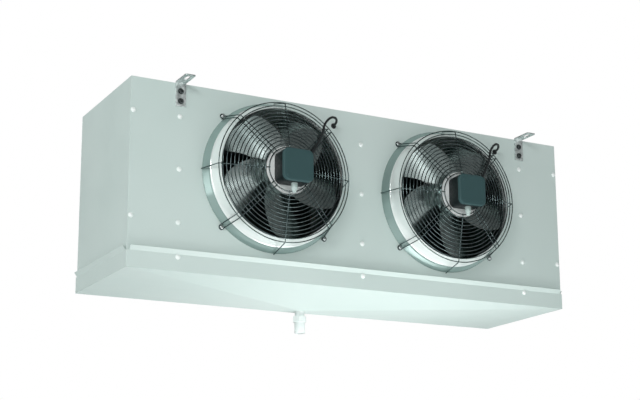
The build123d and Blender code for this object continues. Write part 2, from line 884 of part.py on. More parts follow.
def all_pieces():
    """Name and solids of every piece of the cooler."""
    half = sheet / 2
    pieces = {
        "front_panel": front_panel(),
        "top_panel": top_panel(),
        "left_end_cover": end_cover(-1),
        "right_end_cover": end_cover(1),
        "left_tube_sheet": tube_sheet(-column_x, 1),
        "centre_tube_sheet": tube_sheet(0, 1),
        "right_tube_sheet": tube_sheet(column_x, -1),
        "rear_rail": rear_rail(),
        "panel_screws": panel_screws(),
        "left_fin_pack": fin_pack(-column_x + half, -half),
        "right_fin_pack": fin_pack(half, column_x - half),
        "coil_tubes": coil_tubes(),
        "left_return_bends": return_bends(-1),
        "right_return_bends": return_bends(1),
        "suction_header": suction_header(),
        "liquid_distributor": distributor(),
        "inlet_stubs": inlet_stubs(),
        "capillary_tubes": capillary_tubes(),
        "pipe_grommets": pipe_grommets(),
        "drip_tray": drip_tray(),
        "tray_rim": tray_rim(),
        "tray_screws": tray_screws(),
        "tray_hinge_brackets": hinge_brackets(),
        "tray_hinge_pins": hinge_pins(),
        "drain_tail": drain_tail(),
        "drain_collar": drain_collar(),
        "drain_washer": drain_washer_ring(),
        "drain_nut": drain_nut(),
        "front_hanger_bolts": hanger_bolts(-1),
        "rear_hanger_bolts": hanger_bolts(1),
    }
    for end, x in (("left", -column_x), ("right", column_x)):
        pieces[f"front_{end}_hanger"] = hanger(x, -1)
        pieces[f"rear_{end}_hanger"] = hanger(x, 1)
    for end, x in (("left", -fan_x), ("right", fan_x)):
        place = fan_place(x)
        pieces[f"{end}_air_collar"] = place * collar()
        pieces[f"{end}_fan_guard"] = place * guard()
        pieces[f"{end}_guard_screws"] = guard_screws(x)
        pieces[f"{end}_motor_stator"] = place * motor_stator()
        pieces[f"{end}_motor_bearings"] = [place * bearing for bearing in motor_bearings()]
        pieces[f"{end}_motor_rotor"] = place * motor_rotor()
        pieces[f"{end}_impeller"] = place * impeller()
        pieces[f"{end}_terminal_box"] = place * terminal_box()
        pieces[f"{end}_cable_gland"] = place * cable_gland()
        pieces[f"{end}_motor_cable"] = place * motor_cable()
        pieces[f"{end}_cable_grommet"] = place * cable_grommet()
    return pieces


for name, shape in all_pieces().items():
    solids = shape if isinstance(shape, list) else [shape]
    export_step(solids[0] if len(solids) == 1 else Compound(children=list(solids)), f"parts/{name}.step")
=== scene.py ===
import json
import math

import bmesh
import bpy
from mathutils import Matrix, Vector

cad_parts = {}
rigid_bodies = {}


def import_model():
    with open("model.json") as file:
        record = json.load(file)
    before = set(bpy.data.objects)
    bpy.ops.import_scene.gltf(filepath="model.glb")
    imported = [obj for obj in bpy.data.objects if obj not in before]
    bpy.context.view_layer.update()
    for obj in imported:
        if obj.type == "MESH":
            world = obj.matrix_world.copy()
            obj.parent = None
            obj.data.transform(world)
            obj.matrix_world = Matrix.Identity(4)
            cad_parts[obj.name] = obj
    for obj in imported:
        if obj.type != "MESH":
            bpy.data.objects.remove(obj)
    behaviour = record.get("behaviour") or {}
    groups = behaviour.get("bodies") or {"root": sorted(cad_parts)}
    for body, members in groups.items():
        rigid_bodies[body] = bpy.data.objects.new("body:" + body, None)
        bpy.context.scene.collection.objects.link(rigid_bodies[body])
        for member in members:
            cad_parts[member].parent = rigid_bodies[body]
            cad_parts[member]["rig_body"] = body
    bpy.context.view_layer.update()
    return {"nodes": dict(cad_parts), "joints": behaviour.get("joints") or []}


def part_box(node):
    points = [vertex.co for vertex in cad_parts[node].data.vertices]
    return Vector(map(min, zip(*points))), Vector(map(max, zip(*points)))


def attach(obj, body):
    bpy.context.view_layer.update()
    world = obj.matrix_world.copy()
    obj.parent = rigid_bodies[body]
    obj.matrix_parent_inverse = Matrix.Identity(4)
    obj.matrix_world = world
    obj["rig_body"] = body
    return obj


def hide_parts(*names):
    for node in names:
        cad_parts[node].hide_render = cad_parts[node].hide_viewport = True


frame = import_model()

mm = 0.001
weld = 2e-6
sheetThick = 1.5 * mm
halfHanger = 15 * mm
scene = bpy.context.scene

# Places read from the frame
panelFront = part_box("top_panel")[0].y - sheetThick
casingLow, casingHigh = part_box("front_panel")
casingTop = casingHigh.z
leftEnd, rightEnd = casingLow.x, casingHigh.x
fanJoints = [joint for joint in frame["joints"] if joint.get("continuous")]
fanCentres = {joint["child"]: joint["pos_m"] for joint in fanJoints}
hangerStarts = [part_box(f"front_{side}_hanger")[0].x for side in ("left", "right")]
columns = (hangerStarts[0] + halfHanger, 0, hangerStarts[1] + halfHanger)


# Small tools for meshes

def link(obj):
    scene.collection.objects.link(obj)
    return obj


def setPiece(obj, material, body, slotName, *nodes):
    obj.data.materials.clear()
    obj.data.materials.append(material)
    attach(obj, body)
    if nodes:
        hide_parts(*nodes)
    return obj


def sharpen(mesh, limit=32):
    # smooth faces with crisp folds
    work = bmesh.new()
    work.from_mesh(mesh)
    for face in work.faces:
        face.smooth = True
    for edge in work.edges:
        edge.smooth = len(edge.link_faces) == 2 and edge.calc_face_angle(0) < math.radians(limit)
    work.to_mesh(mesh)
    work.free()
    return mesh


def plainMesh(obj, name, limit=32):
    # modifiers and curves become one plain mesh
    graph = bpy.context.evaluated_depsgraph_get()
    mesh = bpy.data.meshes.new_from_object(obj.evaluated_get(graph))
    mesh.transform(obj.matrix_world)
    old = obj.data
    bpy.data.objects.remove(obj)
    if old.users == 0 and isinstance(old, bpy.types.Mesh):
        bpy.data.meshes.remove(old)
    return link(bpy.data.objects.new(name, sharpen(mesh, limit)))


def meshFrom(name, points, faces, limit=32):
    mesh = bpy.data.meshes.new(name)
    mesh.from_pydata([tuple(point) for point in points], [], faces)
    work = bmesh.new()
    work.from_mesh(mesh)
    bmesh.ops.remove_doubles(work, verts=work.verts, dist=weld / 2)
    bmesh.ops.recalc_face_normals(work, faces=work.faces)
    work.to_mesh(mesh)
    work.free()
    return link(bpy.data.objects.new(name, sharpen(mesh, limit)))


def joined(name, objs, limit=32):
    work = bmesh.new()
    for obj in objs:
        obj.data.transform(obj.matrix_world)
        work.from_mesh(obj.data)
        bpy.data.objects.remove(obj)
    mesh = bpy.data.meshes.new(name)
    work.to_mesh(mesh)
    work.free()
    return link(bpy.data.objects.new(name, sharpen(mesh, limit)))


def lathe(name, profile, place=Matrix(), steps=64, limit=32):
    # profile of radius and height, closed round and turned about the local Z axis
    points, faces = [], []
    count = len(profile)
    for step in range(steps):
        angle = 2 * math.pi * step / steps
        for radius, height in profile:
            points.append(place @ Vector((radius * math.cos(angle), radius * math.sin(angle), height)))
    for step in range(steps):
        here = step * count
        after = (step + 1) % steps * count
        for number in range(count):
            follow = (number + 1) % count
            faces.append((here + number, after + number, after + follow, here + follow))
    return meshFrom(name, points, faces, limit)


def arc(centre, radius, start, end, steps):
    # points of radius and height along an arc, angles in degrees
    made = []
    for step in range(steps + 1):
        angle = math.radians(start + (end - start) * step / steps)
        made.append((centre[0] + radius * math.cos(angle), centre[1] + radius * math.sin(angle)))
    return made


def scaled(points):
    return [tuple(value * mm for value in point) for point in points]


def fanPlace(centre):
    # local Z runs out of the panel, local Y up, heights are measured from the panel
    x, z = centre[0], centre[2]
    return Matrix(((1, 0, 0, x), (0, 0, -1, panelFront), (0, 1, 0, z), (0, 0, 0, 1)))


def dressed(node, width, material, slotName, limit=30, crisp=32):
    # the form of the node in the frame, with merged points and rounded folds
    source = frame["nodes"][node]
    mesh = source.data.copy()
    work = bmesh.new()
    work.from_mesh(mesh)
    bmesh.ops.remove_doubles(work, verts=work.verts, dist=weld)
    bmesh.ops.dissolve_limit(work, angle_limit=math.radians(1), verts=work.verts, edges=work.edges)
    work.to_mesh(mesh)
    work.free()
    obj = link(bpy.data.objects.new(node + "_finish", mesh))
    bevel = obj.modifiers.new("fold", "BEVEL")
    bevel.width, bevel.segments, bevel.limit_method = width, 2, "ANGLE"
    bevel.angle_limit = math.radians(limit)
    obj = plainMesh(obj, node + "_finish", crisp)
    return setPiece(obj, material, source["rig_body"], slotName, node)


# Small tools for node trees

class Tree:
    # a geometry tree with named inputs, which ends in Realize Instances and Set Material
    def __init__(self, name, inputs):
        self.group = bpy.data.node_groups.new(name, "GeometryNodeTree")
        self.group.interface.new_socket("Geometry", in_out="INPUT", socket_type="NodeSocketGeometry")
        self.ids = {}
        for label, kind, value in inputs:
            socket = self.group.interface.new_socket(label, in_out="INPUT", socket_type=kind)
            if value is not None:
                socket.default_value = value
            self.ids[label] = socket.identifier
        self.group.interface.new_socket("Geometry", in_out="OUTPUT", socket_type="NodeSocketGeometry")
        self.start = self.group.nodes.new("NodeGroupInput")

    def add(self, kind, wires=None, **options):
        node = self.group.nodes.new(kind)
        for key, value in options.items():
            setattr(node, key, value)
        for key, value in (wires or {}).items():
            if isinstance(value, bpy.types.NodeSocket):
                self.group.links.new(value, node.inputs[key])
            else:
                node.inputs[key].default_value = value
        return node

    def math(self, operation, a, b=0.0):
        return self.add("ShaderNodeMath", {0: a, 1: b}, operation=operation).outputs[0]

    def close(self, geometry):
        material = self.start.outputs["Material"]
        solid = self.add("GeometryNodeRealizeInstances", {"Geometry": geometry}).outputs[0]
        coated = self.add("GeometryNodeSetMaterial", {"Geometry": solid, "Material": material})
        end = self.group.nodes.new("NodeGroupOutput")
        self.group.links.new(coated.outputs[0], end.inputs[0])

    def bake(self, name, base, values, limit=32):
        obj = link(bpy.data.objects.new(name + "_base", base))
        modifier = obj.modifiers.new("tree", "NODES")
        modifier.node_group = self.group
        for label, value in values.items():
            modifier[self.ids[label]] = value
        obj.update_tag()
        bpy.context.view_layer.update()
        return plainMesh(obj, name, limit)


real, whole = "NodeSocketFloat", "NodeSocketInt"


def makeRingTree():
    # concentric wire rings on a dome that is flat up to the motor flange
    tree = Tree("wireRings", (
        ("Rings", whole, 14), ("Inner radius", real, 0.06), ("Outer radius", real, 0.2),
        ("Flat radius", real, 0.07), ("Inner height", real, 0.1), ("Outer height", real, 0.07),
        ("Wire", real, 0.001), ("Material", "NodeSocketMaterial", None)))
    given = tree.start.outputs
    line = tree.add("GeometryNodeMeshLine", {"Count": given["Rings"], "Offset": (0, 0, 0)})
    last = tree.math("SUBTRACT", given["Rings"], 1)
    share = tree.math("DIVIDE", tree.add("GeometryNodeInputIndex").outputs[0], last)
    span = tree.math("SUBTRACT", given["Outer radius"], given["Inner radius"])
    radius = tree.math("ADD", given["Inner radius"], tree.math("MULTIPLY", span, share))
    height = tree.add("ShaderNodeMapRange", {
        "Value": radius, "From Min": given["Flat radius"], "From Max": given["Outer radius"],
        "To Min": given["Inner height"], "To Max": given["Outer height"]}, clamp=True)
    offset = tree.add("ShaderNodeCombineXYZ", {"Z": height.outputs[0]})
    placed = tree.add("GeometryNodeSetPosition", {"Geometry": line.outputs[0], "Offset": offset.outputs[0]})
    circle = tree.add("GeometryNodeCurvePrimitiveCircle", {"Resolution": 96, "Radius": 1.0})
    size = tree.add("ShaderNodeCombineXYZ", {"X": radius, "Y": radius, "Z": 1.0})
    rings = tree.add("GeometryNodeInstanceOnPoints", {
        "Points": placed.outputs[0], "Instance": circle.outputs[0], "Scale": size.outputs[0]})
    curves = tree.add("GeometryNodeRealizeInstances", {"Geometry": rings.outputs[0]})
    section = tree.add("GeometryNodeCurvePrimitiveCircle", {"Resolution": 8, "Radius": given["Wire"]})
    wires = tree.add("GeometryNodeCurveToMesh", {
        "Curve": curves.outputs[0], "Profile Curve": section.outputs[0]})
    tree.close(wires.outputs[0])
    return tree


def makeWireTree():
    # bent wires along the edges of the base mesh, with rounded corners
    tree = Tree("bentWires", (
        ("Wire", real, 0.001), ("Bend", real, 0.006), ("Material", "NodeSocketMaterial", None)))
    given = tree.start.outputs
    curve = tree.add("GeometryNodeMeshToCurve", {"Mesh": given["Geometry"]})
    bent = tree.add("GeometryNodeFilletCurve", {
        "Curve": curve.outputs[0], "Radius": given["Bend"], "Count": 5, "Limit Radius": True}, mode="POLY")
    section = tree.add("GeometryNodeCurvePrimitiveCircle", {"Resolution": 8, "Radius": given["Wire"]})
    wires = tree.add("GeometryNodeCurveToMesh", {
        "Curve": bent.outputs[0], "Profile Curve": section.outputs[0], "Fill Caps": True})
    tree.close(wires.outputs[0])
    return tree


def makeSeatTree():
    # one copy of a small part on each point of the base mesh, turned by the point's own attribute
    tree = Tree("seatedParts", (
        ("Part", "NodeSocketObject", None), ("Material", "NodeSocketMaterial", None)))
    given = tree.start.outputs
    part = tree.add("GeometryNodeObjectInfo", {"Object": given["Part"]})
    turn = tree.add("GeometryNodeInputNamedAttribute", {"Name": "turn"}, data_type="FLOAT_VECTOR")
    copies = tree.add("GeometryNodeInstanceOnPoints", {
        "Points": given["Geometry"], "Instance": part.outputs["Geometry"],
        "Rotation": turn.outputs["Attribute"]})
    tree.close(copies.outputs[0])
    return tree


def makeFinTree():
    # a row of fins at an even pitch along X
    tree = Tree("finRow", (
        ("Part", "NodeSocketObject", None), ("Fins", whole, 46), ("Pitch", real, 0.012),
        ("Material", "NodeSocketMaterial", None)))
    given = tree.start.outputs
    part = tree.add("GeometryNodeObjectInfo", {"Object": given["Part"]})
    step = tree.add("ShaderNodeCombineXYZ", {"X": given["Pitch"]})
    line = tree.add("GeometryNodeMeshLine", {"Count": given["Fins"], "Offset": step.outputs[0]})
    fins = tree.add("GeometryNodeInstanceOnPoints", {
        "Points": line.outputs[0], "Instance": part.outputs["Geometry"]})
    tree.close(fins.outputs[0])
    return tree


ringTree, wireTree, seatTree, finTree = makeRingTree(), makeWireTree(), makeSeatTree(), makeFinTree()
print("trees ready")


# Finishes

collarLook = {
    # paintedShadeEdge is the height above the panel where the painted shade on the flare gives way to the
    # painted highlight on the wall
    "hole": 214, "lap": 4, "gap": 0.3, "crease": 200, "creaseHeight": 25, "mouth": 185.5,
    "mouthHeight": 62, "steps": 160, "paintedShadeEdge": 23.5,
}
boxLook = {
    "size": 90, "corner": 17, "low": 98, "seam": 145, "high": 156, "step": 0.8, "round": 3.5,
    "screw": 31, "screwProfile": ((0, 0), (3.2, 0), (3.2, 0.5), (2.4, 1), (0, 1)),
    "screwSink": 0.1, "leastCorner": 2, "cornerSteps": 8, "smooth": 35,
}


def surface(name, colour, roughness, metal=0.0, shine=0.5):
    material = bpy.data.materials.new(name)
    material.use_nodes = True
    shader = material.node_tree.nodes["Principled BSDF"]
    shader.inputs["Base Color"].default_value = (*colour, 1)
    shader.inputs["Roughness"].default_value = roughness
    shader.inputs["Metallic"].default_value = metal
    shader.inputs["Specular IOR Level"].default_value = shine
    return material


class Paint:
    # adds colour, roughness and bump patterns on object coordinates to one material
    def __init__(self, material):
        self.material = material
        self.nodes = material.node_tree.nodes
        self.links = material.node_tree.links
        self.shader = self.nodes["Principled BSDF"]
        self.place = self.nodes.new("ShaderNodeTexCoord").outputs["Object"]

    def noise(self, scale, detail=3.0):
        texture = self.nodes.new("ShaderNodeTexNoise")
        texture.inputs["Scale"].default_value = scale
        texture.inputs["Detail"].default_value = detail
        self.links.new(self.place, texture.inputs["Vector"])
        return texture.outputs["Fac"]

    def cells(self, scale):
        texture = self.nodes.new("ShaderNodeTexVoronoi")
        texture.inputs["Scale"].default_value = scale
        self.links.new(self.place, texture.inputs["Vector"])
        return texture.outputs["Color"]

    def ahead(self, depth):
        # 1 where the surface lies in front of a plane across Y, 0 behind it
        split = self.nodes.new("ShaderNodeSeparateXYZ")
        self.links.new(self.place, split.inputs[0])
        below = self.nodes.new("ShaderNodeMath")
        below.operation = "LESS_THAN"
        below.inputs[1].default_value = depth
        self.links.new(split.outputs["Y"], below.inputs[0])
        return below.outputs[0]

    def between(self, source, low, high, start=0.35, end=0.65):
        ramp = self.nodes.new("ShaderNodeMapRange")
        ramp.inputs["From Min"].default_value = start
        ramp.inputs["From Max"].default_value = end
        ramp.inputs["To Min"].default_value = low
        ramp.inputs["To Max"].default_value = high
        self.links.new(source, ramp.inputs["Value"])
        return ramp.outputs[0]

    def colours(self, source, first, second, start=0.35, end=0.65):
        mix = self.nodes.new("ShaderNodeMix")
        mix.data_type = "RGBA"
        mix.inputs["A"].default_value = (*first, 1)
        mix.inputs["B"].default_value = (*second, 1)
        self.links.new(self.between(source, 0, 1, start, end), mix.inputs["Factor"])
        self.links.new(mix.outputs["Result"], self.shader.inputs["Base Color"])

    def rough(self, source, low, high):
        self.links.new(self.between(source, low, high), self.shader.inputs["Roughness"])

    def bump(self, source, strength, distance):
        bump = self.nodes.new("ShaderNodeBump")
        bump.inputs["Strength"].default_value = strength
        bump.inputs["Distance"].default_value = distance
        self.links.new(source, bump.inputs["Height"])
        self.links.new(bump.outputs[0], self.shader.inputs["Normal"])


# rough and gloss are roughness, mottle and grain are noise scales with their detail,
# and a parting is the plane across Y where the first tone gives way to the second
finishLook = {
    # satin powder coat with a faint orange peel
    "paintedSheet": {
        "base": (0.6, 0.7, 0.675), "rough": 0.42, "mottle": (2.2, 2),
        "tones": ((0.585, 0.69, 0.662), (0.62, 0.715, 0.69)), "glossScale": 9, "gloss": (0.36, 0.48),
        "grain": (520, 2), "grainDepth": (0.12, 0.0004)},
    # bright coat of the spun collars, which partly mirrors the panel beside it; the flare next to the panel
    # is painted darker as painted shade, and the wall ahead of it lighter as a painted highlight
    "collarGloss": {
        "base": (0.62, 0.7, 0.685), "rough": 0.14, "metal": 0.3,
        "parting": panelFront - collarLook["paintedShadeEdge"] * mm,
        "tones": ((0.27, 0.37, 0.35), (0.78, 0.84, 0.825)), "glossScale": 12, "gloss": (0.1, 0.17)},
    # zinc spangle, cool grey
    "galvanisedSteel": {
        "base": (0.4, 0.46, 0.455), "rough": 0.42, "metal": 0.9, "spangle": 170,
        "tones": ((0.46, 0.53, 0.52), (0.84, 0.9, 0.89)), "glossScale": 60, "gloss": (0.3, 0.46),
        "grain": (240, 3), "grainDepth": (0.1, 0.0003)},
    "whiteScrewCap": {
        "base": (0.86, 0.92, 0.9), "rough": 0.3, "mottle": (60, 3),
        "tones": ((0.82, 0.89, 0.87), (0.9, 0.94, 0.93)), "grain": (900, 3), "grainDepth": (0.08, 0.0002)},
    "zincPlate": {
        "base": (0.4, 0.45, 0.45), "rough": 0.3, "metal": 1, "mottle": (180, 3),
        "tones": ((0.4, 0.45, 0.45), (0.6, 0.65, 0.64)), "glossScale": 400, "gloss": (0.22, 0.4)},
    "boltSteel": {
        "base": (0.07, 0.085, 0.085), "rough": 0.3, "metal": 1, "mottle": (180, 3),
        "tones": ((0.07, 0.085, 0.085), (0.13, 0.15, 0.15)), "glossScale": 400, "gloss": (0.22, 0.4)},
    # drawn wire coloured nearly black, a painted dark reflection, with its two tones mottled at random
    "guardWire": {
        "base": (0.075, 0.105, 0.105), "rough": 0.18, "metal": 1, "mottle": (45, 4),
        "tones": ((0.04, 0.06, 0.062), (0.13, 0.17, 0.17)), "glossScale": 160, "gloss": (0.12, 0.24)},
    # rolled sheet coloured darker than bare aluminium, a painted dark reflection, with a random cloudy
    # mottle and a soft shine
    "bladeAluminium": {
        "base": (0.36, 0.43, 0.42), "rough": 0.24, "metal": 1, "mottle": (9, 2),
        "tones": ((0.3, 0.37, 0.36), (0.44, 0.51, 0.5)), "glossScale": 14, "gloss": (0.18, 0.28)},
    # near white and not metallic, a painted highlight that keeps the motor flange bright beside the dark
    # terminal box
    "castAluminium": {
        "base": (0.88, 0.93, 0.92), "rough": 0.2, "mottle": (70, 3),
        "tones": ((0.88, 0.92, 0.91), (0.92, 0.95, 0.94)), "glossScale": 90, "gloss": (0.14, 0.24)},
    # near black base, dark teal lid
    "terminalPlastic": {
        "base": (0.04, 0.085, 0.09), "rough": 0.45, "shine": 0.15,
        "parting": panelFront - boxLook["seam"] * mm,
        "tones": ((0.008, 0.014, 0.015), (0.042, 0.088, 0.092)), "glossScale": 120, "gloss": (0.38, 0.55),
        "grain": (1500, 3), "grainDepth": (0.2, 0.0003)},
    "copperTube": {
        "base": (0.68, 0.36, 0.24), "rough": 0.32, "metal": 1, "mottle": (24, 5),
        "tones": ((0.45, 0.22, 0.14), (0.76, 0.44, 0.31)), "glossScale": 130, "gloss": (0.22, 0.46)},
    "turnedBrass": {
        "base": (0.72, 0.55, 0.28), "rough": 0.28, "metal": 1, "mottle": (50, 3),
        "tones": ((0.6, 0.45, 0.22), (0.78, 0.62, 0.34)), "glossScale": 300, "gloss": (0.2, 0.38)},
    # dark grey, painted shade: the fins are coloured far darker than bare aluminium so the coil behind the
    # fans looks dark
    "finAluminium": {
        "base": (0.2, 0.23, 0.23), "rough": 0.42, "metal": 1, "mottle": (60, 3),
        "tones": ((0.18, 0.21, 0.21), (0.22, 0.25, 0.25)), "glossScale": 120, "gloss": (0.32, 0.5)},
}
# moulded pieces share one pattern
plasticLook = {
    "whitePlastic": {"tones": ((0.78, 0.84, 0.83), (0.86, 0.9, 0.89)), "rough": 0.35, "shine": 0.5},
    "glandNylon": {"tones": ((0.42, 0.52, 0.5), (0.52, 0.62, 0.6)), "rough": 0.38, "shine": 0.5},
    "blackRubber": {"tones": ((0.012, 0.014, 0.015), (0.022, 0.024, 0.025)), "rough": 0.7, "shine": 0.2},
    "cableSheath": {"tones": ((0.012, 0.015, 0.016), (0.02, 0.024, 0.025)), "rough": 0.42, "shine": 0.25},
}
glossSpread = 0.06
spangleRange = (0.1, 0.9)


def makeFinish(name, settings):
    look = Paint(surface(
        name, settings["base"], settings["rough"], settings.get("metal", 0), settings.get("shine", 0.5)))
    if "parting" in settings:
        look.colours(look.ahead(settings["parting"]), *settings["tones"], 0, 1)
    elif "spangle" in settings:
        look.colours(look.cells(settings["spangle"]), *settings["tones"], *spangleRange)
    else:
        look.colours(look.noise(*settings["mottle"]), *settings["tones"])
    if "gloss" in settings:
        look.rough(look.noise(settings["glossScale"]), *settings["gloss"])
    if "grain" in settings:
        look.bump(look.noise(*settings["grain"]), *settings["grainDepth"])
    return look.material


def makePlastic(name):
    settings = plasticLook[name]
    rough = settings["rough"]
    return makeFinish(name, settings | {
        "base": settings["tones"][0], "mottle": (40, 3), "glossScale": 200,
        "gloss": (rough - glossSpread, rough + glossSpread),
        "grain": (1100, 3), "grainDepth": (0.1, 0.0002)})


finish = {name: makeFinish(name, settings) for name, settings in finishLook.items()}
# the tray under the casing has the same coat with less shine
finish["trayCoat"] = makeFinish("trayCoat", finishLook["paintedSheet"] | {"shine": 0.12})
for name in plasticLook:
    finish[name] = makePlastic(name)
painted, galvanised, plated = finish["paintedSheet"], finish["galvanisedSteel"], finish["zincPlate"]
print("finishes ready")


# Casing

def flareProfile():
    # from the foot behind the panel up the outside to the mouth, then back down the inside
    c = collarLook
    sheet, foot = sheetThick / mm, c["hole"] - c["gap"]
    crease, high = c["crease"], c["creaseHeight"]
    mouth, top = c["mouth"], c["mouthHeight"]
    lap = c["hole"] + c["lap"]
    outer = [(lap, -2 * sheet), (lap, -sheet), (foot, -sheet), (foot, 0)]
    # rounded foot, then the flare up to the rounded crease
    outer += [(foot - 1.2, 1.6), (crease + 3.4, high - 5.4), (crease + 1.1, high - 2.4)]
    outer += arc((crease - 0.7, high - 1.4), 1.8, 20, 80, 4)
    outer += [(crease - 1.4, high + 1.6), (mouth + 1.0, top - 5), (mouth + 0.3, top - 1.4)]
    outer += arc((mouth - sheet / 2, top - sheet / 2), sheet / 2, 0, 180, 6)
    inner = [(crease - sheet - 1.2, high + 1.4), (crease - sheet, high - 2)]
    inner += [(foot - sheet, -sheet / 2), (foot - sheet, -2 * sheet)]
    return outer + inner


def sheetWithHoles(name, outline, depth, holes, thick, edge):
    # flat panel across Y with its middle at one depth, with round holes and thin rounded edges
    data = bpy.data.curves.new(name, "CURVE")
    data.dimensions, data.fill_mode = "2D", "BOTH"
    data.extrude, data.bevel_depth, data.bevel_resolution = thick / 2 - edge, edge, 1
    rim = data.splines.new("POLY")
    rim.points.add(len(outline) - 1)
    for point, (x, z) in zip(rim.points, outline):
        point.co = (x, z, 0, 1)
    rim.use_cyclic_u = True
    for x, z, radius in holes:
        hole = data.splines.new("POLY")
        steps = collarLook["steps"] if radius == collarLook["hole"] * mm else panelLook["holeSteps"]
        hole.points.add(steps - 1)
        for number, point in enumerate(hole.points):
            angle = 2 * math.pi * number / steps
            point.co = (x + radius * math.cos(angle), z + radius * math.sin(angle), 0, 1)
        hole.use_cyclic_u = True
    obj = link(bpy.data.objects.new(name, data))
    obj.matrix_world = Matrix(((1, 0, 0, 0), (0, 0, -1, depth), (0, 1, 0, 0), (0, 0, 0, 1)))
    bpy.context.view_layer.update()
    return plainMesh(obj, name)


panelLook = {
    "slot": 7, "slotTop": 482, "cableHole": 5, "cablePlace": (190.05, 180.35), "edge": 0.35,
    "holeSteps": 24,
}


def makeFrontPanel():
    edge = panelLook["edge"] * mm
    half = panelLook["slot"] / 2 * mm
    low = casingLow.z
    slotTop = casingTop - panelLook["slotTop"] * mm + half
    rim = [(leftEnd + edge, casingTop - edge), (leftEnd + edge, low + edge)]
    for x in columns:
        rim += [(x - half, low + edge), (x - half, slotTop)]
        rim += [(x + half, slotTop), (x + half, low + edge)]
    rim += [(rightEnd - edge, low + edge), (rightEnd - edge, casingTop - edge)]
    holes = []
    for centre in fanCentres.values():
        x, z = centre[0], centre[2]
        across, up = panelLook["cablePlace"]
        holes.append((x, z, collarLook["hole"] * mm))
        holes.append((x + across * mm, z + up * mm, panelLook["cableHole"] * mm))
    panel = sheetWithHoles("frontPanel", rim, panelFront + sheetThick / 2, holes, sheetThick, edge)
    return setPiece(panel, painted, "casing", "painted_sheet", "front_panel")


def makeCollar(side, place):
    ring = lathe(side + "AirCollar", scaled(flareProfile()), place, collarLook["steps"], 40)
    return setPiece(ring, finish["collarGloss"], "casing", "painted_sheet", side + "_air_collar")


makeFrontPanel()

# painted sheets shade each fold crisply, galvanised ones have bends that shade smoothly
foldLook = {"painted": 0.4, "crisp": 5, "hanger": 0.5, "plain": 0.3, "bendLimit": 50}
paintedSheets = {"top_panel": painted, "left_end_cover": painted, "right_end_cover": painted,
                 "tray_rim": painted, "drip_tray": finish["trayCoat"]}
for node, coat in paintedSheets.items():
    dressed(node, foldLook["painted"] * mm, coat, "painted_sheet", crisp=foldLook["crisp"])
for node in ("front_left_hanger", "front_right_hanger", "rear_left_hanger", "rear_right_hanger"):
    dressed(node, foldLook["hanger"] * mm, galvanised, "galvanised_steel", foldLook["bendLimit"])
plainSheets = ("left_tube_sheet", "centre_tube_sheet", "right_tube_sheet", "rear_rail",
               "tray_hinge_brackets")
for node in plainSheets:
    dressed(node, foldLook["plain"] * mm, galvanised, "galvanised_steel", foldLook["bendLimit"])
print("casing ready")


# Screws and bolts

screwLook = {
    "radius": 6.2, "height": 4.2, "brim": 7.2, "brimHeight": 0.5, "neck": 0.8, "segments": 28,
    "plainHead": 3.5,
}


def capProfile():
    # low dome on a thin brim
    s = screwLook
    dome = []
    for degrees in range(0, 90, 15):
        angle = math.radians(degrees)
        rise = (s["height"] - s["neck"]) * math.sin(angle)
        dome.append((s["radius"] * math.cos(angle), s["neck"] + rise))
    brim = [(0, 0), (s["brim"], 0), (s["brim"], s["brimHeight"]), (s["brim"] - 0.4, s["neck"] + 0.1)]
    return brim + dome + [(0, s["height"])]


def seats(name, places, turns):
    mesh = bpy.data.meshes.new(name)
    mesh.from_pydata([tuple(place) for place in places], [], [])
    turn = mesh.attributes.new("turn", "FLOAT_VECTOR", "POINT")
    for number, value in enumerate(turns):
        turn.data[number].vector = value
    return mesh


def seatParts(name, part, places, turns, material, limit=32):
    # a copy of the part at each place, after which the part itself goes
    mesh = seats(name, places, turns)
    made = seatTree.bake(name, mesh, {"Part": part, "Material": material}, limit)
    bpy.data.objects.remove(part)
    return made


outward = (math.pi / 2, 0, 0)
backward = (-math.pi / 2, 0, 0)


def looseBoxes(node):
    # lowest and highest corner of each loose piece of a node, from its mesh
    source = frame["nodes"][node].data
    work = bmesh.new()
    work.from_mesh(source)
    bmesh.ops.remove_doubles(work, verts=work.verts, dist=weld)
    left = set(work.verts)
    boxes = []
    for start in work.verts:
        if start not in left:
            continue
        left.remove(start)
        group, stack = [start], [start]
        while stack:
            for edge in stack.pop().link_edges:
                for vert in edge.verts:
                    if vert in left:
                        left.remove(vert)
                        group.append(vert)
                        stack.append(vert)
        low = Vector([min(v.co[i] for v in group) for i in range(3)])
        high = Vector([max(v.co[i] for v in group) for i in range(3)])
        boxes.append((low, high))
    work.free()
    return boxes


def makeScrews(node, name, body):
    face = screwLook["plainHead"] * mm
    places = []
    for low, high in looseBoxes(node):
        middle = (low + high) / 2
        places.append((middle.x, low.y + face, middle.z))
    part = lathe("capForm", scaled(capProfile()), Matrix(), screwLook["segments"])
    made = seatParts(name, part, places, [outward] * len(places), finish["whiteScrewCap"])
    return setPiece(made, finish["whiteScrewCap"], body, "white_screw", node)


makeScrews("panel_screws", "panelScrewCaps", "casing")
makeScrews("tray_screws", "trayScrewCaps", "drip_tray")

boltLook = {
    "head": 6.4, "height": 4.6, "washer": 8.2, "washerHeight": 1.1, "chamfer": (0.9, 0.8),
    "plainHead": 5, "smooth": 25,
}


def boltForm():
    b = boltLook
    low = b["washerHeight"]
    top = b["height"] + low
    washerProfile = [(0, 0), (b["washer"], 0), (b["washer"], low), (0, low)]
    washer = lathe("washerForm", scaled(washerProfile), Matrix(), 24)
    inset, drop = b["chamfer"]
    profile = [(0, low), (b["head"], low), (b["head"], top - drop), (b["head"] - inset, top), (0, top)]
    head = lathe("headForm", scaled(profile), Matrix(), 6, 20)
    return joined("boltForm", [washer, head], b["smooth"])


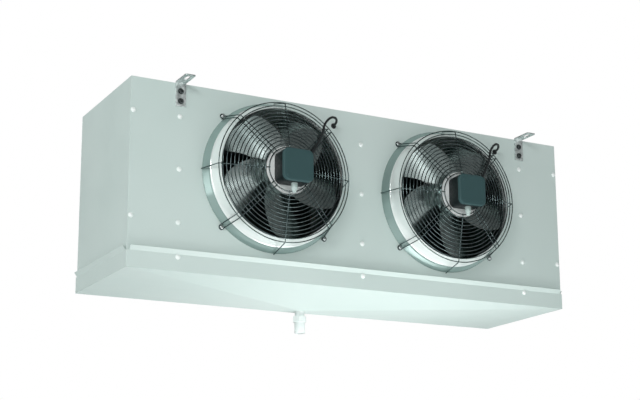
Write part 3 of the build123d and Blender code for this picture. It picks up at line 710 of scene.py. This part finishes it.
def makeBolts(node, turn, toFace):
    places = []
    for low, high in looseBoxes(node):
        middle = (low + high) / 2
        places.append((middle.x, toFace(low, high), middle.z))
    steel = finish["boltSteel"]
    made = seatParts(node + "_heads", boltForm(), places, [turn] * len(places), steel, boltLook["smooth"])
    return setPiece(made, steel, "casing", "plated_bolt", node)


boltFace = boltLook["plainHead"] * mm
makeBolts("front_hanger_bolts", outward, lambda low, high: low.y + boltFace)
makeBolts("rear_hanger_bolts", backward, lambda low, high: high.y - boltFace)
print("fasteners ready")


# Fans

guardLook = {
    "wire": 1.5, "rings": 14, "inner": 62, "outer": 197, "flat": 67, "innerHeight": 99.3,
    "outerHeight": 71.3, "side": (206, 40), "base": 216.6, "footHeight": 1.4, "legGap": 13,
    "foot": 221, "bend": 7, "crownLap": 3, "ringLift": 1.8, "smooth": 60,
}


def guardPaths():
    # spokes and hairpin legs as lines, in millimetres from the fan's axis and the panel
    g = guardLook
    lap, half = g["crownLap"], g["legGap"] / 2
    crown = [(g["inner"] - lap, g["innerHeight"]), (g["flat"] + lap, g["innerHeight"]),
             (g["outer"], g["outerHeight"]), g["side"]]
    spoke = crown + [(g["base"], g["footHeight"])]
    leg = spoke + [(g["foot"], g["footHeight"])]
    loop = []
    for degrees in range(15, 180, 15):
        angle = math.radians(degrees)
        loop.append(Vector((g["foot"] + half * math.sin(angle), half * math.cos(angle), g["footHeight"])))
    lines = []
    for number in range(4):
        turn = Matrix.Rotation(math.radians(90 * number), 4, "Z")
        lines.append([turn @ Vector((radius, 0, height)) for radius, height in spoke])
        out = [Vector((radius, half, height)) for radius, height in leg]
        back = [Vector((radius, -half, height)) for radius, height in reversed(leg)]
        diagonal = Matrix.Rotation(math.radians(45 + 90 * number), 4, "Z")
        lines.append([diagonal @ point for point in out + loop + back])
    return lines


def lineMesh(name, lines, place):
    points, edges = [], []
    for line in lines:
        first = len(points)
        points += [place @ (point * mm) for point in line]
        edges += [(first + i, first + i + 1) for i in range(len(line) - 1)]
    mesh = bpy.data.meshes.new(name)
    mesh.from_pydata([tuple(point) for point in points], edges, [])
    return mesh


def makeGuard(side, place):
    g = guardLook
    wire = finish["guardWire"]
    empty = bpy.data.meshes.new(side + "RingBase")
    empty.from_pydata([(0, 0, 0)], [], [])
    dome = ringTree.bake(side + "Dome", empty, {
        "Rings": g["rings"], "Inner radius": g["inner"] * mm, "Outer radius": g["outer"] * mm,
        "Flat radius": g["flat"] * mm, "Inner height": (g["innerHeight"] + g["ringLift"]) * mm,
        "Outer height": (g["outerHeight"] + g["ringLift"]) * mm, "Wire": g["wire"] * mm,
        "Material": wire}, g["smooth"])
    dome.data.transform(place)
    base = lineMesh(side + "WireBase", guardPaths(), place)
    bent = wireTree.bake(side + "Wires", base, {
        "Wire": g["wire"] * mm, "Bend": g["bend"] * mm, "Material": wire}, g["smooth"])
    guard = joined(side + "Guard", [dome, bent], g["smooth"])
    return setPiece(guard, wire, "casing", "guard_wire", side + "_fan_guard")


eyeScrewLook = {
    "seat": 2.6,
    "profile": ((0, 0), (5.6, 0), (5.6, 0.6), (5.2, 2.2), (3.8, 3.4), (1.8, 3.9), (0, 3.9)),
}


def makeGuardScrews(side, place):
    foot = guardLook["foot"]
    part = lathe("eyeScrewForm", scaled(eyeScrewLook["profile"]), Matrix(), 20)
    places = []
    for number in range(4):
        angle = math.radians(45 + 90 * number)
        point = Vector((foot * math.cos(angle), foot * math.sin(angle), eyeScrewLook["seat"])) * mm
        places.append(place @ point)
    made = seatParts(side + "GuardScrews", part, places, [outward] * 4, plated)
    return setPiece(made, plated, "casing", "plated_bolt", side + "_guard_screws")


motorLook = {
    "flange": 67, "low": 90, "high": 98, "core": 40, "coreLow": 26, "bore": 14, "dome": 45,
    "edge": 1.2, "domeDrop": 1.4, "steps": 96,
}


def makeStator(side, place):
    # domed flange, with the core and its bore behind it
    m = motorLook
    rim, low, high, edge = m["flange"], m["low"], m["high"], m["edge"]
    profile = [(0, high)] + arc((m["core"], low), high - low, 90, 78, 2)
    for step in range(1, 9):
        angle = math.radians(10 * step)
        rise = (high - low - m["domeDrop"]) * math.cos(angle)
        profile.append((m["dome"] + (rim - m["dome"]) * math.sin(angle), low + edge + rise))
    profile += [(rim, low + edge), (rim - edge, low), (m["core"], low), (m["core"], m["coreLow"])]
    profile += [(m["bore"], m["coreLow"]), (m["bore"], low), (0, low)]
    stator = lathe(side + "Stator", scaled(profile), place, m["steps"])
    return setPiece(stator, finish["castAluminium"], "casing", "motor_aluminium", side + "_motor_stator")


rotorLook = {
    # floor, rounded shoulder, can and shaft
    "floor": ((0, 8), (46, 8)), "shoulder": ((47, 12), 4, -90, 0, 4),
    "can": ((51, 84.6), (50, 86), (45, 86), (44, 85), (44, 14)), "shaft": ((6, 14), (6, 88), (0, 88)),
}


def makeRotor(side, place):
    r = rotorLook
    profile = [*r["floor"], *arc(*r["shoulder"]), *r["can"], *r["shaft"]]
    rotor = lathe(side + "Rotor", scaled(profile), place, motorLook["steps"])
    body = side + "_fan"
    return setPiece(rotor, finish["castAluminium"], body, "motor_aluminium", side + "_motor_rotor")


bladeLook = {
    "count": 5, "start": 47, "root": 52, "tip": 176, "thick": 1.6, "rows": 22, "columns": 14,
    "height": 43, "bend": 221, "pitch": 24, "sweep": 12, "tipRound": 5.6, "smooth": 50,
    "lead": ((52, -43), (66, -38.4), (117, -21), (176, -3.3)),
    "trail": ((52, 40), (64, 36), (118, 34), (176, 37.4)),
    "hub": ((51.1, 12), (52.6, 12), (53, 12.4), (53, 65.6), (52.6, 66), (51.1, 66)),
}


def along(pairs, value):
    # smooth curve through four pairs
    total = 0
    for place, height in pairs:
        share = height
        for other, _ in pairs:
            if other != place:
                share *= (value - other) / (place - other)
        total += share
    return total


def bentHeight(x, y):
    # height of the rolled and pitched sheet above the panel at one place of the blade
    b = bladeLook
    turn, tilt = math.radians(-b["sweep"]), math.radians(b["pitch"])
    across = x * math.sin(turn) + y * math.cos(turn)
    drop = 0
    for _ in range(8):
        flat = (across - drop * math.sin(tilt)) / math.cos(tilt)
        drop = math.sqrt(b["bend"] ** 2 - flat ** 2) - b["bend"]
    return b["height"] - flat * math.sin(tilt) + drop * math.cos(tilt)


def bladePoint(share, across):
    # share runs from root to tip, across from the leading to the trailing edge, both from 0 to 1
    b = bladeLook
    radius = b["root"] + (b["tip"] - b["root"]) * share
    low, high = along(b["lead"], radius), along(b["trail"], radius)
    angle = math.radians(low + (high - low) * across)
    radius -= b["tipRound"] * share ** 6 * abs(2 * across - 1) ** 8
    x, y = radius * math.cos(angle), radius * math.sin(angle)
    return Vector((x, y, bentHeight(x, y)))


def makeImpeller(side, place):
    b = bladeLook
    points, faces = [], []
    rows, cols = b["rows"], b["columns"]
    for number in range(b["count"]):
        turn = Matrix.Rotation(2 * math.pi * number / b["count"] + math.radians(b["start"]), 4, "Z")
        first = len(points)
        for row in range(rows + 1):
            for col in range(cols + 1):
                point = bladePoint(row / rows, col / cols)
                points.append(place @ ((turn @ point) * mm))
        for row in range(rows):
            for col in range(cols):
                low = first + row * (cols + 1) + col
                faces.append((low, low + 1, low + cols + 2, low + cols + 1))
    blades = meshFrom(side + "Blades", points, faces, 60)
    thick = blades.modifiers.new("sheet", "SOLIDIFY")
    thick.thickness, thick.offset = b["thick"] * mm, 0
    blades = plainMesh(blades, side + "Blades", b["smooth"])
    hub = lathe(side + "Hub", scaled(b["hub"]), place, motorLook["steps"])
    wheel = joined(side + "Impeller", [blades, hub], b["smooth"])
    body = side + "_fan"
    return setPiece(wheel, finish["bladeAluminium"], body, "blade_aluminium", side + "_impeller")


def squareRing(half, corner, height):
    # outline of a square with round corners at one height
    steps = boxLook["cornerSteps"]
    points = []
    for quarter in range(4):
        x = (half - corner) * (1 if quarter in (0, 3) else -1)
        y = (half - corner) * (1 if quarter in (0, 1) else -1)
        for step in range(steps + 1):
            angle = math.radians(90 * quarter) + math.radians(90) * step / steps
            points.append(Vector((x + corner * math.cos(angle), y + corner * math.sin(angle), height)))
    return points


def squareSolid(name, levels, half, corner, place):
    # stack of rounded squares, closed at both ends
    points, faces, count = [], [], 4 * (boxLook["cornerSteps"] + 1)
    for offset, height in levels:
        points += squareRing(half + offset, max(corner + offset, boxLook["leastCorner"]), height)
    for level in range(len(levels) - 1):
        for number in range(count):
            after = (number + 1) % count
            low, high = level * count, (level + 1) * count
            faces.append((low + number, low + after, high + after, high + number))
    faces.append(tuple(range(count - 1, -1, -1)))
    faces.append(tuple((len(levels) - 1) * count + number for number in range(count)))
    return meshFrom(name, [place @ (point * mm) for point in points], faces, boxLook["smooth"])


def makeTerminalBox(side, place):
    b = boxLook
    half, corner, low, seam, high = b["size"] / 2, b["corner"], b["low"], b["seam"], b["high"]
    step, roll = b["step"], b["round"]
    levels = [(-0.6, low), (0, low + 1), (0, seam - 0.8), (-step, seam), (-step, seam + 0.6)]
    parts = [squareSolid(side + "BoxBase", levels, half, corner, place)]
    levels = [(-0.4, seam + 0.4), (0, seam + 0.9)]
    for number in range(6):
        angle = math.radians(90 * number / 5)
        levels.append((-roll * (1 - math.cos(angle)), high - roll * (1 - math.sin(angle))))
    levels.append((-roll - 5, high))
    parts.append(squareSolid(side + "BoxLid", levels, half, corner, place))
    for x in (-b["screw"], b["screw"]):
        for y in (-b["screw"], b["screw"]):
            seat = place @ Matrix.Translation(Vector((x, y, high - b["screwSink"])) * mm)
            parts.append(lathe("lidScrew", scaled(b["screwProfile"]), seat, 18))
    box = joined(side + "TerminalBox", parts, b["smooth"])
    material = finish["terminalPlastic"]
    return setPiece(box, material, "casing", "terminal_plastic", side + "_terminal_box")


glandLook = {
    # nut, ridges on the cap and its rounded end
    "nut": ((0, 0), (9, 0), (9, 3), (8.4, 3.4), (8.4, 5)), "ridges": 4, "ridgePitch": 2.2,
    "ridge": ((8.8, 5.6), (8.8, 6.8), (8.2, 7.4)),
    "end": ((7.6, 16.5), (5.6, 21.5), (4.4, 25.4), (3.8, 26), (0, 26)), "height": 127,
}


def makeGland(side, place):
    g = glandLook
    profile = list(g["nut"])
    for number in range(g["ridges"]):
        profile += [(radius, height + number * g["ridgePitch"]) for radius, height in g["ridge"]]
    profile += g["end"]
    # it points down from the lower wall of the box
    wall, height = -boxLook["size"] / 2 * mm, g["height"] * mm
    down = Matrix(((1, 0, 0, 0), (0, 0, -1, wall), (0, 1, 0, height), (0, 0, 0, 1)))
    gland = lathe(side + "Gland", scaled(profile), place @ down, 32)
    return setPiece(gland, finish["glandNylon"], "casing", "gland_nylon", side + "_cable_gland")


cableLook = {
    "radius": 3.5,
    # out of the box, up along the guard's leg, over its rim and into the panel
    "route": ((44, 30, 132), (66, 58, 112), (90, 91, 96), (109, 123, 88), (117, 153, 81), (147, 183, 64),
              (178, 190, 42), (190, 180.4, 16), (190, 180.4, -16)),
}


def makeCable(side, place):
    data = bpy.data.curves.new(side + "Cable", "CURVE")
    data.dimensions = "3D"
    data.bevel_depth, data.bevel_resolution, data.use_fill_caps = cableLook["radius"] * mm, 4, True
    spline = data.splines.new("NURBS")
    spline.points.add(len(cableLook["route"]) - 1)
    for point, where in zip(spline.points, cableLook["route"]):
        point.co = (*(place @ (Vector(where) * mm)), 1)
    spline.order_u, spline.use_endpoint_u, spline.resolution_u = 3, True, 10
    cable = plainMesh(link(bpy.data.objects.new(side + "Cable", data)), side + "MotorCable", 60)
    return setPiece(cable, finish["cableSheath"], "casing", "cable_sheath", side + "_motor_cable")


grommetLook = {
    "profile": ((3.7, -3), (8, -3), (8, -1.5), (5, -1.5), (5, 0), (8, 0), (7.8, 1.2), (6.2, 2.6),
                (4.4, 3), (3.7, 2.6)),
}


def makeGrommet(side, place):
    seat = Matrix.Translation(Vector((*panelLook["cablePlace"], 0)) * mm)
    grommet = lathe(side + "Grommet", scaled(grommetLook["profile"]), place @ seat, 32)
    return setPiece(grommet, finish["blackRubber"], "casing", "black_rubber", side + "_cable_grommet")


fanParts = (
    makeCollar, makeGuard, makeGuardScrews, makeStator, makeRotor, makeImpeller, makeTerminalBox,
    makeGland, makeCable, makeGrommet,
)
for fanBody, centre in fanCentres.items():
    side = fanBody.split("_")[0]
    for makePart in fanParts:
        makePart(side, fanPlace(centre))
print("fans ready")


# Coil and drain keep their forms from the frame and get their finishes here

plainNodes = {
    "copperTube": ("coil_tubes", "left_return_bends", "right_return_bends", "suction_header",
                   "inlet_stubs", "capillary_tubes"),
    "turnedBrass": ("liquid_distributor",),
    "blackRubber": ("pipe_grommets", "drain_washer"),
    "whitePlastic": ("drain_collar", "drain_nut", "drain_tail"),
    "zincPlate": ("tray_hinge_pins", "left_motor_bearings", "right_motor_bearings"),
}
for name, nodes in plainNodes.items():
    for node in nodes:
        mesh = frame["nodes"][node].data
        mesh.materials.clear()
        mesh.materials.append(finish[name])

finLook = {"pitch": 4, "thick": 0.5}


def makeFins(side):
    # fins at their real pitch on the span of the plain ones
    low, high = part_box(side + "_fin_pack")
    pitch, half = finLook["pitch"] * mm, finLook["thick"] / 2 * mm
    count = int((high.x - low.x - 2 * half) // pitch) + 1
    start = (low.x + high.x - (count - 1) * pitch) / 2
    points = [(start + x, y, z) for x in (-half, half) for y in (low.y, high.y) for z in (low.z, high.z)]
    faces = [(0, 1, 3, 2), (4, 6, 7, 5), (0, 4, 5, 1), (2, 3, 7, 6), (0, 2, 6, 4), (1, 5, 7, 3)]
    fin = meshFrom("finForm", points, faces)
    base = bpy.data.meshes.new(side + "FinBase")
    base.from_pydata([(0, 0, 0)], [], [])
    metal = finish["finAluminium"]
    values = {"Part": fin, "Fins": count, "Pitch": pitch, "Material": metal}
    pack = finTree.bake(side + "FinPack", base, values)
    bpy.data.objects.remove(fin)
    return setPiece(pack, metal, "casing", "fin_aluminium", side + "_fin_pack")


for side in ("left", "right"):
    makeFins(side)
print("coil and drain ready")


# Camera, lights and floor

cameraLook = {
    "yaw": 30.56, "pitch": 13.17, "roll": -0.91, "lens": 79.2, "shiftX": -0.1, "shiftY": 0.0625,
    "place": (-1.9305, -3.5916, -1.2949), "sensor": 36, "clip": (0.05, 60),
}


def makeCamera():
    c = cameraLook
    yaw, pitch, roll = (math.radians(c[key]) for key in ("yaw", "pitch", "roll"))
    forward = Vector((math.sin(yaw) * math.cos(pitch), math.cos(yaw) * math.cos(pitch), math.sin(pitch)))
    right = Vector((math.cos(yaw), -math.sin(yaw), 0))
    up = right.cross(forward)
    across = math.cos(roll) * right + math.sin(roll) * up
    above = -math.sin(roll) * right + math.cos(roll) * up
    data = bpy.data.cameras.new("camera")
    data.sensor_width, data.lens = c["sensor"], c["lens"]
    data.shift_x, data.shift_y = c["shiftX"], c["shiftY"]
    data.clip_start, data.clip_end = c["clip"]
    camera = link(bpy.data.objects.new("camera", data))
    turn = Matrix((across, above, -forward)).transposed().to_4x4()
    camera.matrix_world = Matrix.Translation(c["place"]) @ turn
    scene.camera = camera


def makeLamp(name, place, target, size, power):
    data = bpy.data.lights.new(name, "AREA")
    data.shape, data.size, data.size_y = "RECTANGLE", size[0], size[1]
    data.energy = power
    lamp = link(bpy.data.objects.new(name, data))
    aim = Vector(target) - Vector(place)
    lamp.matrix_world = Matrix.Translation(place) @ aim.to_track_quat("-Z", "Y").to_matrix().to_4x4()
    lamp.visible_camera = False


lightLook = {
    "around": 0.42, "aroundColour": (0.95, 1, 0.99, 1),
    # brightness of what shiny surfaces see, from low directions to high ones
    "room": {"From Min": -0.5, "From Max": 0.25, "To Min": 1.1, "To Max": 0.2},
    # name, place, what it points at, size, power
    "lamps": (
        ("keySoft", (-2.6, -3.4, 0.9), (-0.1, 0, -0.25), (0.9, 0.7), 45),
        ("frontSoft", (-0.9, -4.0, -1.3), (-0.1, 0, -0.25), (1.4, 1.1), 9),
        ("lowFront", (1.6, -3.2, -1.6), (0, 0, -0.25), (0.9, 0.6), 5),
        ("sideSoft", (-3.6, -0.9, -0.3), (-0.7, 0, -0.3), (1.6, 1.6), 30),
        ("underSoft", (0.1, -0.42, -1.35), (0.05, -0.1, -0.5), (1.0, 0.4), 7.7),
    ),
}


def mathNode(nodes, links, operation, first, second):
    node = nodes.new("ShaderNodeMath")
    node.operation = operation
    for socket, value in zip(node.inputs, (first, second)):
        if isinstance(value, bpy.types.NodeSocket):
            links.new(value, socket)
        else:
            socket.default_value = value
    return node.outputs[0]


def seenDirectly(nodes, links):
    # 1 for rays from the camera and for those that metal or glass sends on
    path = nodes.new("ShaderNodeLightPath").outputs
    seen = path["Is Camera Ray"]
    for kind in ("Is Glossy Ray", "Is Transmission Ray"):
        seen = mathNode(nodes, links, "MAXIMUM", seen, path[kind])
    return seen


def mixShaders(nodes, links, share, first, second):
    mix = nodes.new("ShaderNodeMixShader")
    for socket, source in zip(mix.inputs, (share, first, second)):
        links.new(source, socket)
    return mix.outputs[0]


def makeWorld():
    # white to the camera, while shiny surfaces see a room that is darker towards its top
    world = bpy.data.worlds.new("studio")
    scene.world = world
    world.use_nodes = True
    nodes, links = world.node_tree.nodes, world.node_tree.links
    nodes.clear()
    around = nodes.new("ShaderNodeBackground")
    around.inputs["Color"].default_value = lightLook["aroundColour"]
    around.inputs["Strength"].default_value = lightLook["around"]
    white = nodes.new("ShaderNodeBackground")
    white.inputs["Color"].default_value = (1, 1, 1, 1)
    split = nodes.new("ShaderNodeSeparateXYZ")
    links.new(nodes.new("ShaderNodeTexCoord").outputs["Generated"], split.inputs[0])
    fade = nodes.new("ShaderNodeMapRange")
    for key, value in lightLook["room"].items():
        fade.inputs[key].default_value = value
    links.new(split.outputs["Z"], fade.inputs["Value"])
    toCamera = nodes.new("ShaderNodeLightPath").outputs["Is Camera Ray"]
    strength = mathNode(nodes, links, "MAXIMUM", fade.outputs[0], toCamera)
    links.new(strength, white.inputs["Strength"])
    seen = seenDirectly(nodes, links)
    mixed = mixShaders(nodes, links, seen, around.outputs[0], white.outputs[0])
    links.new(mixed, nodes.new("ShaderNodeOutputWorld").inputs[0])


floorLook = {
    "size": 14, "height": -1.9, "base": (0.86, 0.88, 0.88), "rough": 0.8, "mottle": 3,
    "tones": ((0.85, 0.87, 0.87), (0.88, 0.9, 0.9)), "white": 0.75,
}


def makeFloor():
    # nearly white to the camera, and it still shows a shadow
    f = floorLook
    bpy.ops.mesh.primitive_plane_add(size=f["size"], location=(0, 0, f["height"]))
    floor = bpy.context.object
    floor.name = "floor"
    look = Paint(surface("paleFloor", f["base"], f["rough"]))
    look.colours(look.noise(f["mottle"]), *f["tones"])
    nodes, links = look.nodes, look.links
    share = mathNode(nodes, links, "MULTIPLY", seenDirectly(nodes, links), f["white"])
    white = nodes.new("ShaderNodeEmission")
    mixed = mixShaders(nodes, links, share, look.shader.outputs[0], white.outputs[0])
    links.new(mixed, nodes["Material Output"].inputs["Surface"])
    floor.data.materials.append(look.material)


makeCamera()
makeWorld()
for lamp in lightLook["lamps"]:
    makeLamp(*lamp)
makeFloor()
scene.view_settings.view_transform = "Standard"
print("stage ready")
